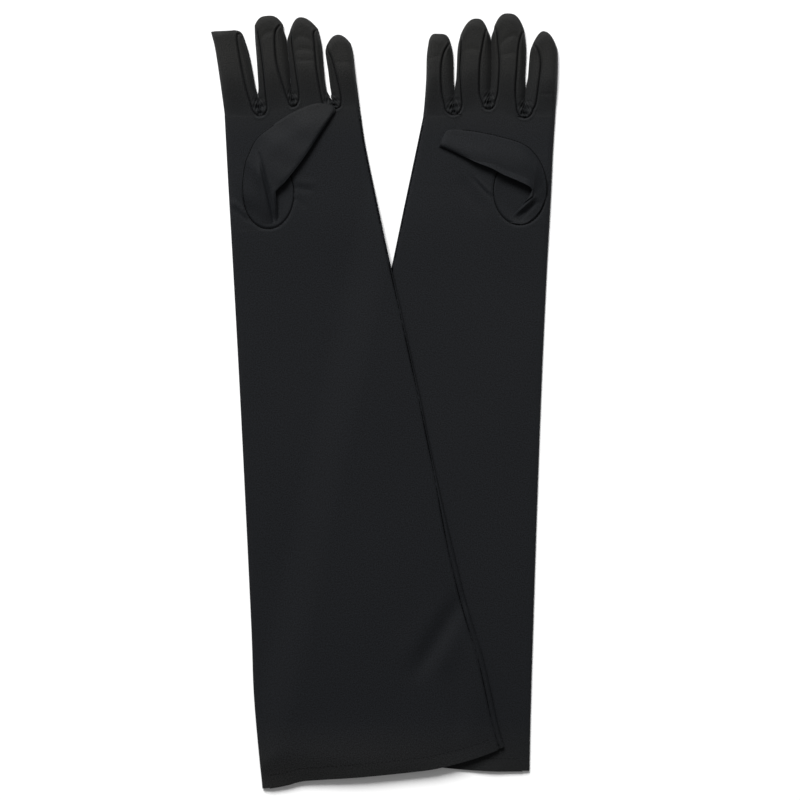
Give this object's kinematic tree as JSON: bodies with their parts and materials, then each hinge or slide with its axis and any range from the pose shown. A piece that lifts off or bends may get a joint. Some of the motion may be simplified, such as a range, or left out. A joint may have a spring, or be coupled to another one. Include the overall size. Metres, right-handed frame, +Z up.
{
  "type": "pair of opera gloves",
  "caption": "Full-length black stretch-satin opera gloves laid flat with palms up, one crossed over the other, thumbs folded over the palms.",
  "frame": {"origin": "centre of the pair's outline, on the table that it lies on", "axes": "+Y from the hems to the fingertips, +X across the pair from the left glove's hand to the right one's, +Z up from the table"},
  "size_m": [0.2486, 0.5572, 0.0109],
  "materials": {
    "black_satin": "matte stretch satin, fine knit",
    "finger_satin": "matte stretch satin, fine knit",
    "hem_satin": "matte stretch satin, doubled",
    "sewing_thread": "spun polyester thread"
  },
  "bodies": {
    "right_sleeve": {"right_sleeve_palm_side": "black_satin", "right_sleeve_back_side": "black_satin", "right_hem_palm_side": "hem_satin", "right_hem_back_side": "hem_satin", "right_sleeve_seam_thread": "sewing_thread"},
    "right_hand": {"right_hand_palm": "black_satin", "right_hand_back": "black_satin", "right_hand_seam_thread": "sewing_thread", "right_thumb_gusset": "black_satin", "right_little_ring_fork": "finger_satin", "right_ring_middle_fork": "finger_satin", "right_middle_index_fork": "finger_satin"},
    "right_little": {"right_little_front": "finger_satin", "right_little_back": "finger_satin", "right_little_fourchette_by_ring": "finger_satin"},
    "right_ring": {"right_ring_front": "finger_satin", "right_ring_back": "finger_satin", "right_ring_fourchette_by_little": "finger_satin", "right_ring_fourchette_by_middle": "finger_satin"},
    "right_middle": {"right_middle_front": "finger_satin", "right_middle_back": "finger_satin", "right_middle_fourchette_by_ring": "finger_satin", "right_middle_fourchette_by_index": "finger_satin"},
    "right_index": {"right_index_front": "finger_satin", "right_index_back": "finger_satin", "right_index_fourchette_by_middle": "finger_satin"},
    "right_thumb": {"right_thumb_back": "black_satin", "right_thumb_front": "black_satin"},
    "left_sleeve": {"left_sleeve_palm_side": "black_satin", "left_sleeve_back_side": "black_satin", "left_hem_palm_side": "hem_satin", "left_hem_back_side": "hem_satin", "left_sleeve_seam_thread": "sewing_thread"},
    "left_hand": {"left_hand_palm": "black_satin", "left_hand_back": "black_satin", "left_hand_seam_thread": "sewing_thread", "left_thumb_gusset": "black_satin", "left_index_middle_fork": "finger_satin", "left_middle_ring_fork": "finger_satin", "left_ring_little_fork": "finger_satin"},
    "left_index": {"left_index_front": "finger_satin", "left_index_back": "finger_satin", "left_index_fourchette_by_middle": "finger_satin"},
    "left_middle": {"left_middle_front": "finger_satin", "left_middle_back": "finger_satin", "left_middle_fourchette_by_index": "finger_satin", "left_middle_fourchette_by_ring": "finger_satin"},
    "left_ring": {"left_ring_front": "finger_satin", "left_ring_back": "finger_satin", "left_ring_fourchette_by_middle": "finger_satin", "left_ring_fourchette_by_little": "finger_satin"},
    "left_little": {"left_little_front": "finger_satin", "left_little_back": "finger_satin", "left_little_fourchette_by_ring": "finger_satin"},
    "left_thumb": {"left_thumb_back": "black_satin", "left_thumb_front": "black_satin"}
  },
  "joints": [
    {"name": "left_glove_lift", "type": "slide", "parent": "right_sleeve", "child": "left_sleeve", "axis": [0, 0, 1], "range_m": [0, 0.1]},
    {"name": "right_wrist_fold", "type": "hinge", "parent": "right_sleeve", "child": "right_hand", "pos_m": [0.06075, 0.10055, 0.0034], "axis": [0.9925, -0.1221, 0], "range_deg": [0, 90]},
    {"name": "right_little_curl", "type": "hinge", "parent": "right_hand", "child": "right_little", "pos_m": [0.0369, 0.2143, 0.0039], "axis": [0.9994, -0.0349, 0], "range_deg": [0, 90]},
    {"name": "right_ring_curl", "type": "hinge", "parent": "right_hand", "child": "right_ring", "pos_m": [0.0612, 0.2162, 0.0039], "axis": [0.9973, -0.0732, 0], "range_deg": [0, 90]},
    {"name": "right_middle_curl", "type": "hinge", "parent": "right_hand", "child": "right_middle", "pos_m": [0.087, 0.217, 0.0039], "axis": [0.9999, -0.014, 0], "range_deg": [0, 90]},
    {"name": "right_index_curl", "type": "hinge", "parent": "right_hand", "child": "right_index", "pos_m": [0.1116, 0.2126, 0.0039], "axis": [0.9982, -0.0593, 0], "range_deg": [0, 90]},
    {"name": "right_thumb_swing", "type": "hinge", "parent": "right_hand", "child": "right_thumb", "pos_m": [0.1084, 0.1594, 0.00395], "axis": [0.4019, 0.9157, 0], "range_deg": [0, 105]},
    {"name": "left_wrist_fold", "type": "hinge", "parent": "left_sleeve", "child": "left_hand", "pos_m": [-0.05455, 0.10015, 0.0034], "axis": [0.9914, 0.1307, 0], "range_deg": [0, 90]},
    {"name": "left_index_curl", "type": "hinge", "parent": "left_hand", "child": "left_index", "pos_m": [-0.1052, 0.2121, 0.0039], "axis": [0.9842, 0.1771, 0], "range_deg": [0, 90]},
    {"name": "left_middle_curl", "type": "hinge", "parent": "left_hand", "child": "left_middle", "pos_m": [-0.0794, 0.217, 0.0039], "axis": [0.9952, 0.0976, 0], "range_deg": [0, 90]},
    {"name": "left_ring_curl", "type": "hinge", "parent": "left_hand", "child": "left_ring", "pos_m": [-0.0526, 0.2196, 0.0039], "axis": [0.9882, 0.153, 0], "range_deg": [0, 90]},
    {"name": "left_little_curl", "type": "hinge", "parent": "left_hand", "child": "left_little", "pos_m": [-0.0279, 0.2172, 0.0039], "axis": [0.9863, 0.165, 0], "range_deg": [0, 90]},
    {"name": "left_thumb_swing", "type": "hinge", "parent": "left_hand", "child": "left_thumb", "pos_m": [-0.08875, 0.1609, 0.00395], "axis": [0.694, -0.72, 0], "range_deg": [0, 105]}
  ]
}
